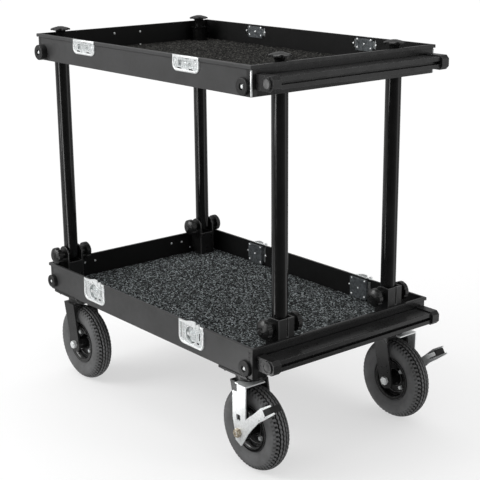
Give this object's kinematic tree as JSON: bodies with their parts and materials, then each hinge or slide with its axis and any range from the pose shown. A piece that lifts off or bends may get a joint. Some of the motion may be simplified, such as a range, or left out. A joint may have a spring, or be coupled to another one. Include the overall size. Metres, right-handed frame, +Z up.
{
  "type": "folding equipment cart",
  "caption": "Two-deck folding equipment cart: carpeted trays on tube posts with clamp knobs, recessed latches, front accessory bars and pneumatic swivel casters.",
  "frame": {"origin": "on the floor, in the middle of the whole cart at rest, from the rear tyres to the tips of the brake levers; the centre of the trays is 34.75 mm behind it", "axes": "+Z up, +X to the front end with the accessory bars, -Y to the right-hand long wall"},
  "size_m": [0.9749, 0.602, 0.976],
  "materials": {
    "frame_black": "satin powder coat",
    "post_black": "gloss",
    "bracket_black": "satin",
    "bar_black": "satin anodised",
    "board_black": "matt laminate",
    "carpet_charcoal": "loop pile",
    "zinc": "bright zinc plate",
    "bumper_rubber": "matt",
    "knob_black": "moulded",
    "caster_black": "satin",
    "rim_black": "gloss",
    "tyre_rubber": "matt"
  },
  "bodies": {
    "lower_tray": {"side_rails_lower": "frame_black", "end_rails_lower": "frame_black", "deck_board_lower": "board_black", "carpet_lower": "carpet_charcoal", "latch_dishes": "zinc", "back_plates_lower": "zinc", "bumpers_lower": "bumper_rubber", "accessory_bar_lower": "bar_black", "post_brackets": "bracket_black", "caster_plates": "caster_black", "caster_bolts": "caster_black"},
    "upper_tray": {"side_rails_upper": "frame_black", "end_rails_upper": "frame_black", "deck_board_upper": "board_black", "carpet_upper": "carpet_charcoal", "catch_plates": "zinc", "back_plates_upper": "zinc", "bumpers_upper": "bumper_rubber", "accessory_bar_upper": "bar_black", "post_sockets": "post_black"},
    "post_front_right": {"post_front_right": "post_black"},
    "clamp_bolt_front_right": {"clamp_bolt_front_right": "knob_black"},
    "clamp_nut_front_right": {"clamp_nut_front_right": "knob_black"},
    "star_knob_front_right": {"star_knob_front_right": "knob_black"},
    "butterfly_front_right": {"butterfly_front_right": "zinc"},
    "caster_front_right": {"caster_fork_front_right": "caster_black", "axle_front_right": "zinc", "brake_plate_right": "zinc"},
    "wheel_front_right": {"rim_front_right": "rim_black", "tyre_front_right": "tyre_rubber"},
    "brake_lever_right": {"brake_lever_right": "zinc"},
    "post_front_left": {"post_front_left": "post_black"},
    "clamp_bolt_front_left": {"clamp_bolt_front_left": "knob_black"},
    "clamp_nut_front_left": {"clamp_nut_front_left": "knob_black"},
    "star_knob_front_left": {"star_knob_front_left": "knob_black"},
    "butterfly_front_left": {"butterfly_front_left": "zinc"},
    "caster_front_left": {"caster_fork_front_left": "caster_black", "axle_front_left": "zinc", "brake_plate_left": "zinc"},
    "wheel_front_left": {"rim_front_left": "rim_black", "tyre_front_left": "tyre_rubber"},
    "brake_lever_left": {"brake_lever_left": "zinc"},
    "post_rear_right": {"post_rear_right": "post_black"},
    "clamp_bolt_rear_right": {"clamp_bolt_rear_right": "knob_black"},
    "clamp_nut_rear_right": {"clamp_nut_rear_right": "knob_black"},
    "star_knob_rear_right": {"star_knob_rear_right": "knob_black"},
    "butterfly_rear_right": {"butterfly_rear_right": "zinc"},
    "caster_rear_right": {"caster_fork_rear_right": "caster_black", "axle_rear_right": "zinc"},
    "wheel_rear_right": {"rim_rear_right": "rim_black", "tyre_rear_right": "tyre_rubber"},
    "post_rear_left": {"post_rear_left": "post_black"},
    "clamp_bolt_rear_left": {"clamp_bolt_rear_left": "knob_black"},
    "clamp_nut_rear_left": {"clamp_nut_rear_left": "knob_black"},
    "star_knob_rear_left": {"star_knob_rear_left": "knob_black"},
    "butterfly_rear_left": {"butterfly_rear_left": "zinc"},
    "caster_rear_left": {"caster_fork_rear_left": "caster_black", "axle_rear_left": "zinc"},
    "wheel_rear_left": {"rim_rear_left": "rim_black", "tyre_rear_left": "tyre_rubber"}
  },
  "joints": [
    {"name": "upper_tray_lift", "type": "slide", "parent": "lower_tray", "child": "upper_tray", "axis": [0, 0, 1], "range_m": [0, 0.15]},
    {"name": "post_fold_front_right", "type": "hinge", "parent": "lower_tray", "child": "post_front_right", "pos_m": [0.38025, -0.178, 0.348], "axis": [0, -1, 0], "range_deg": [0, 90]},
    {"name": "clamp_bolt_turn_front_right", "type": "hinge", "parent": "lower_tray", "child": "clamp_bolt_front_right", "pos_m": [0.38025, -0.178, 0.348], "axis": [0, -1, 0], "range_deg": [0, 360]},
    {"name": "clamp_nut_turn_front_right", "type": "hinge", "parent": "lower_tray", "child": "clamp_nut_front_right", "pos_m": [0.38025, -0.178, 0.348], "axis": [0, -1, 0], "range_deg": [0, 360]},
    {"name": "star_knob_turn_front_right", "type": "hinge", "parent": "upper_tray", "child": "star_knob_front_right", "pos_m": [0.38025, -0.178, 0.959], "axis": [0, 0, 1], "range_deg": [0, 360]},
    {"name": "butterfly_turn_front_right", "type": "hinge", "parent": "lower_tray", "child": "butterfly_front_right", "pos_m": [0.18025, -0.283, 0.294], "axis": [0, -1, 0], "range_deg": [0, 180]},
    {"name": "caster_swivel_front_right", "type": "hinge", "parent": "lower_tray", "child": "caster_front_right", "pos_m": [0.33725, -0.235, 0.23], "axis": [0, 0, 1], "continuous": true},
    {"name": "wheel_spin_front_right", "type": "hinge", "parent": "caster_front_right", "child": "wheel_front_right", "pos_m": [0.36125, -0.235, 0.105], "axis": [0, 1, 0], "continuous": true},
    {"name": "brake_press_right", "type": "hinge", "parent": "caster_front_right", "child": "brake_lever_right", "pos_m": [0.36125, -0.235, 0.105], "axis": [0, 1, 0], "range_deg": [0, 20]},
    {"name": "post_fold_front_left", "type": "hinge", "parent": "lower_tray", "child": "post_front_left", "pos_m": [0.38025, 0.178, 0.348], "axis": [0, -1, 0], "range_deg": [0, 90]},
    {"name": "clamp_bolt_turn_front_left", "type": "hinge", "parent": "lower_tray", "child": "clamp_bolt_front_left", "pos_m": [0.38025, 0.178, 0.348], "axis": [0, 1, 0], "range_deg": [0, 360]},
    {"name": "clamp_nut_turn_front_left", "type": "hinge", "parent": "lower_tray", "child": "clamp_nut_front_left", "pos_m": [0.38025, 0.178, 0.348], "axis": [0, 1, 0], "range_deg": [0, 360]},
    {"name": "star_knob_turn_front_left", "type": "hinge", "parent": "upper_tray", "child": "star_knob_front_left", "pos_m": [0.38025, 0.178, 0.959], "axis": [0, 0, 1], "range_deg": [0, 360]},
    {"name": "butterfly_turn_front_left", "type": "hinge", "parent": "lower_tray", "child": "butterfly_front_left", "pos_m": [0.18025, 0.283, 0.294], "axis": [0, 1, 0], "range_deg": [0, 180]},
    {"name": "caster_swivel_front_left", "type": "hinge", "parent": "lower_tray", "child": "caster_front_left", "pos_m": [0.33725, 0.235, 0.23], "axis": [0, 0, 1], "continuous": true},
    {"name": "wheel_spin_front_left", "type": "hinge", "parent": "caster_front_left", "child": "wheel_front_left", "pos_m": [0.36125, 0.235, 0.105], "axis": [0, 1, 0], "continuous": true},
    {"name": "brake_press_left", "type": "hinge", "parent": "caster_front_left", "child": "brake_lever_left", "pos_m": [0.36125, 0.235, 0.105], "axis": [0, 1, 0], "range_deg": [0, 20]},
    {"name": "post_fold_rear_right", "type": "hinge", "parent": "lower_tray", "child": "post_rear_right", "pos_m": [-0.44975, -0.231, 0.348], "axis": [0, 1, 0], "range_deg": [0, 90]},
    {"name": "clamp_bolt_turn_rear_right", "type": "hinge", "parent": "lower_tray", "child": "clamp_bolt_rear_right", "pos_m": [-0.44975, -0.231, 0.348], "axis": [0, -1, 0], "range_deg": [0, 360]},
    {"name": "clamp_nut_turn_rear_right", "type": "hinge", "parent": "lower_tray", "child": "clamp_nut_rear_right", "pos_m": [-0.44975, -0.231, 0.348], "axis": [0, -1, 0], "range_deg": [0, 360]},
    {"name": "star_knob_turn_rear_right", "type": "hinge", "parent": "upper_tray", "child": "star_knob_rear_right", "pos_m": [-0.44975, -0.231, 0.959], "axis": [0, 0, 1], "range_deg": [0, 360]},
    {"name": "butterfly_turn_rear_right", "type": "hinge", "parent": "lower_tray", "child": "butterfly_rear_right", "pos_m": [-0.24975, -0.283, 0.294], "axis": [0, -1, 0], "range_deg": [0, 180]},
    {"name": "caster_swivel_rear_right", "type": "hinge", "parent": "lower_tray", "child": "caster_rear_right", "pos_m": [-0.40675, -0.235, 0.23], "axis": [0, 0, 1], "continuous": true},
    {"name": "wheel_spin_rear_right", "type": "hinge", "parent": "caster_rear_right", "child": "wheel_rear_right", "pos_m": [-0.38275, -0.235, 0.105], "axis": [0, 1, 0], "continuous": true},
    {"name": "post_fold_rear_left", "type": "hinge", "parent": "lower_tray", "child": "post_rear_left", "pos_m": [-0.44975, 0.231, 0.348], "axis": [0, 1, 0], "range_deg": [0, 90]},
    {"name": "clamp_bolt_turn_rear_left", "type": "hinge", "parent": "lower_tray", "child": "clamp_bolt_rear_left", "pos_m": [-0.44975, 0.231, 0.348], "axis": [0, 1, 0], "range_deg": [0, 360]},
    {"name": "clamp_nut_turn_rear_left", "type": "hinge", "parent": "lower_tray", "child": "clamp_nut_rear_left", "pos_m": [-0.44975, 0.231, 0.348], "axis": [0, 1, 0], "range_deg": [0, 360]},
    {"name": "star_knob_turn_rear_left", "type": "hinge", "parent": "upper_tray", "child": "star_knob_rear_left", "pos_m": [-0.44975, 0.231, 0.959], "axis": [0, 0, 1], "range_deg": [0, 360]},
    {"name": "butterfly_turn_rear_left", "type": "hinge", "parent": "lower_tray", "child": "butterfly_rear_left", "pos_m": [-0.24975, 0.283, 0.294], "axis": [0, 1, 0], "range_deg": [0, 180]},
    {"name": "caster_swivel_rear_left", "type": "hinge", "parent": "lower_tray", "child": "caster_rear_left", "pos_m": [-0.40675, 0.235, 0.23], "axis": [0, 0, 1], "continuous": true},
    {"name": "wheel_spin_rear_left", "type": "hinge", "parent": "caster_rear_left", "child": "wheel_rear_left", "pos_m": [-0.38275, 0.235, 0.105], "axis": [0, 1, 0], "continuous": true}
  ]
}
